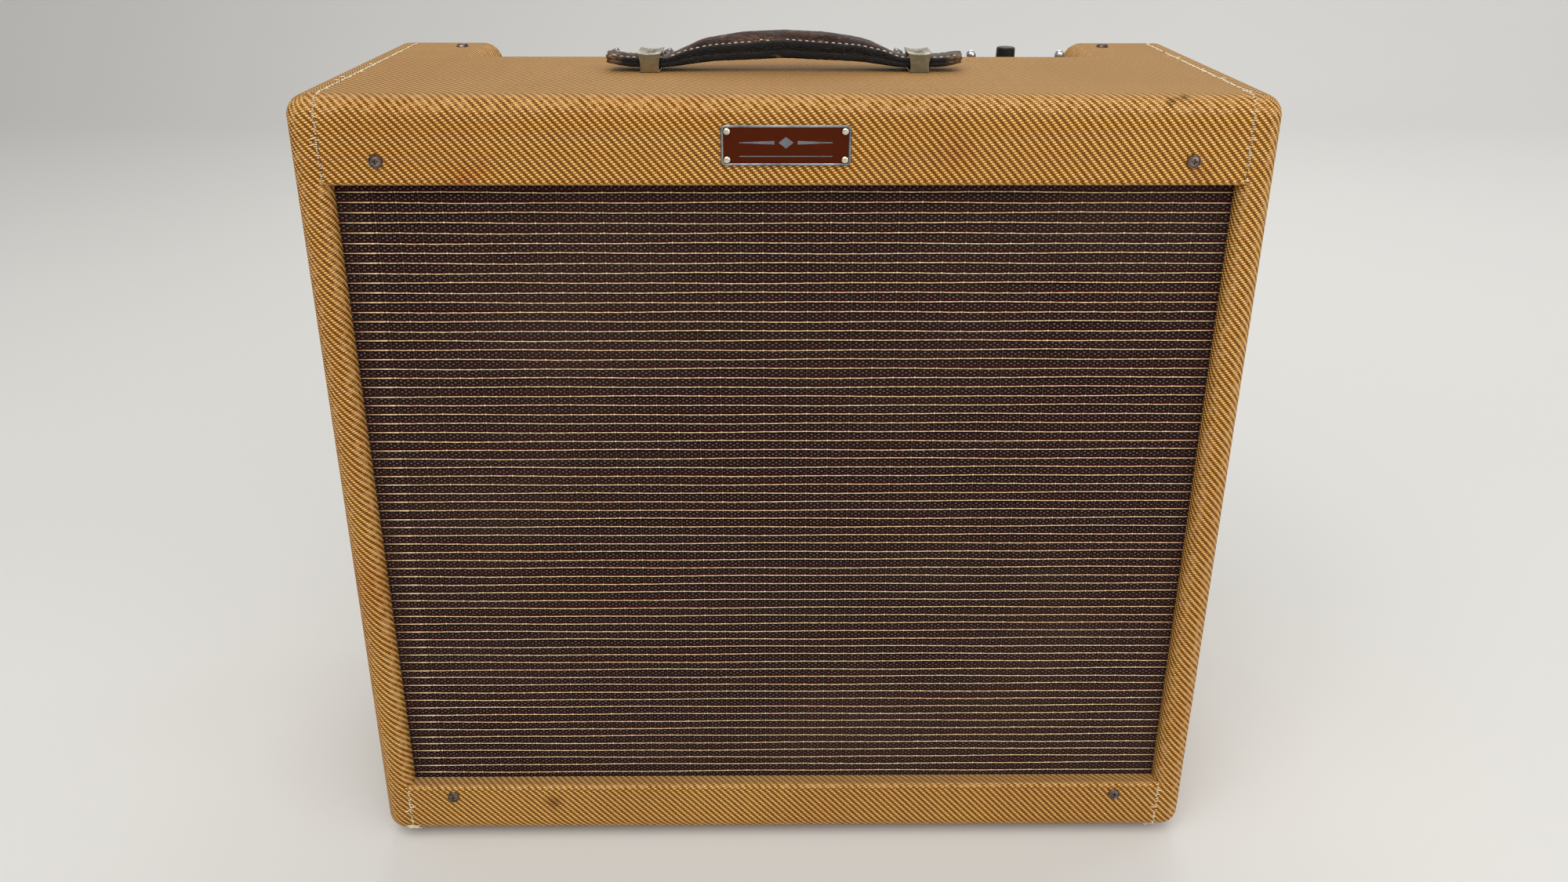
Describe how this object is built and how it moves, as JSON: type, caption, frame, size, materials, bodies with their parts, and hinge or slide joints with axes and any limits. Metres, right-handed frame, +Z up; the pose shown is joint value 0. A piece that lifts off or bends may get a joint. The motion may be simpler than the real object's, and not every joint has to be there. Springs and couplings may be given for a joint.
{
  "type": "guitar amplifier",
  "caption": "Tweed-covered combo guitar amplifier with a leaning front, striped grille cloth, leather strap handle and a control panel let into the rear of the top.",
  "frame": {"origin": "on the floor, under the middle of the cabinet", "axes": "+X to the right for someone facing the grille, +Y from the grille to the back, +Z up"},
  "size_m": [0.559, 0.254, 0.5386],
  "materials": {
    "pine": "raw planed pine",
    "plywood": "raw ply",
    "tweed": "lacquered diagonal twill, aged",
    "grille_cloth": "oxblood basket weave with cream cords",
    "leather": "worn, cracked, stitched",
    "nickel": "tarnished nickel plate",
    "aged_steel": "oxidised zinc plate",
    "chrome": "polished",
    "chassis_chrome": "chrome plate over folded sheet",
    "enamel_plate": "red-brown enamel field, chrome rim",
    "brass": "aged",
    "black_plastic": "moulded, slightly worn",
    "bakelite": "brown moulded",
    "fibre_board": "waxed black fibre",
    "component_body": "waxed paper and plastic",
    "valve_glass": "clear",
    "jewel_glass": "faceted red",
    "fuse_glass": "clear",
    "transformer_black": "satin black",
    "basket_paint": "hammered grey-blue",
    "paper_cone": "ribbed paper pulp",
    "spider_cloth": "varnished corrugated cloth",
    "cork": "cork gasket",
    "magnet_paint": "hammered paint",
    "coil_form": "wound former",
    "black_rubber": "aged cable rubber"
  },
  "bodies": {
    "cabinet": {"back_cleats": "pine", "back_panel_lower": "plywood", "back_panel_upper": "plywood", "baffle_board": "plywood", "bottom_board": "pine", "chassis": "chassis_chrome", "circuit_board": "fibre_board", "circuit_components": "component_body", "cup_washers": "aged_steel", "feet": "nickel", "front_panel_lower": "plywood", "front_panel_upper": "plywood", "fuse_holder": "black_plastic", "grille_cloth": "grille_cloth", "handle_clips": "nickel", "hex_nuts": "chrome", "input_jacks": "nickel", "machine_screws": "aged_steel", "miniature_valves": "valve_glass", "nameplate": "enamel_plate", "nameplate_pins": "brass", "octal_valves": "valve_glass", "output_transformer": "transformer_black", "pilot_jewel": "jewel_glass", "pilot_lamp": "chrome", "potentiometers": "aged_steel", "power_cord": "black_rubber", "power_transformer": "transformer_black", "side_board_left": "pine", "side_board_right": "pine", "speaker_basket": "basket_paint", "speaker_cable": "black_rubber", "speaker_gasket": "cork", "speaker_magnet": "magnet_paint", "speaker_spider": "spider_cloth", "speaker_surround": "paper_cone", "toggle_switches": "chrome", "top_board": "pine", "tweed_back_panels": "tweed", "tweed_bottom": "tweed", "tweed_left": "tweed", "tweed_right": "tweed", "tweed_top": "tweed", "valve_bases": "black_plastic", "valve_sockets": "bakelite", "wood_screws": "aged_steel"},
    "handle": {"handle_strap": "leather"},
    "standby_lever": {"standby_lever": "chrome"},
    "power_lever": {"power_lever": "chrome"},
    "fuse_carrier": {"fuse": "fuse_glass"},
    "fuse_cap": {"fuse_cap": "black_plastic"},
    "cone": {"speaker_cone": "paper_cone", "speaker_dust_cap": "paper_cone", "voice_coil": "coil_form"},
    "volume_one_knob": {"volume_one_knob": "black_plastic"},
    "volume_two_knob": {"volume_two_knob": "black_plastic"},
    "treble_knob": {"treble_knob": "black_plastic"},
    "bass_knob": {"bass_knob": "black_plastic"},
    "presence_knob": {"presence_knob": "black_plastic"}
  },
  "joints": [
    {"name": "handle_slide", "type": "slide", "parent": "cabinet", "child": "handle", "axis": [1, 0, 0], "range_m": [-0.004, 0.004]},
    {"name": "volume_one_turn", "type": "hinge", "parent": "cabinet", "child": "volume_one_knob", "pos_m": [-0.1175, 0.091, 0.493], "axis": [0, 0, 1], "range_deg": [-150, 150]},
    {"name": "volume_two_turn", "type": "hinge", "parent": "cabinet", "child": "volume_two_knob", "pos_m": [-0.08, 0.091, 0.493], "axis": [0, 0, 1], "range_deg": [-150, 150]},
    {"name": "treble_turn", "type": "hinge", "parent": "cabinet", "child": "treble_knob", "pos_m": [-0.043, 0.091, 0.493], "axis": [0, 0, 1], "range_deg": [-150, 150]},
    {"name": "bass_turn", "type": "hinge", "parent": "cabinet", "child": "bass_knob", "pos_m": [0.038, 0.091, 0.493], "axis": [0, 0, 1], "range_deg": [-150, 150]},
    {"name": "presence_turn", "type": "hinge", "parent": "cabinet", "child": "presence_knob", "pos_m": [0.08, 0.091, 0.493], "axis": [0, 0, 1], "range_deg": [-150, 150]},
    {"name": "standby_throw", "type": "hinge", "parent": "cabinet", "child": "standby_lever", "pos_m": [0.136, 0.091, 0.49], "axis": [0, 1, 0], "range_deg": [0, 24]},
    {"name": "power_throw", "type": "hinge", "parent": "cabinet", "child": "power_lever", "pos_m": [0.19, 0.091, 0.49], "axis": [0, 1, 0], "range_deg": [-24, 0]},
    {"name": "fuse_release", "type": "slide", "parent": "cabinet", "child": "fuse_carrier", "axis": [0, 0, 1], "range_m": [0, 0.045]},
    {"name": "fuse_cap_turn", "type": "hinge", "parent": "fuse_carrier", "child": "fuse_cap", "pos_m": [0.156, 0.091, 0.493], "axis": [0, 0, 1], "range_deg": [0, 90]},
    {"name": "cone_travel", "type": "slide", "parent": "cabinet", "child": "cone", "axis": [0, -0.9988, 0.0492], "range_m": [-0.002, 0.002], "stiffness_N_per_m": 2500}
  ]
}
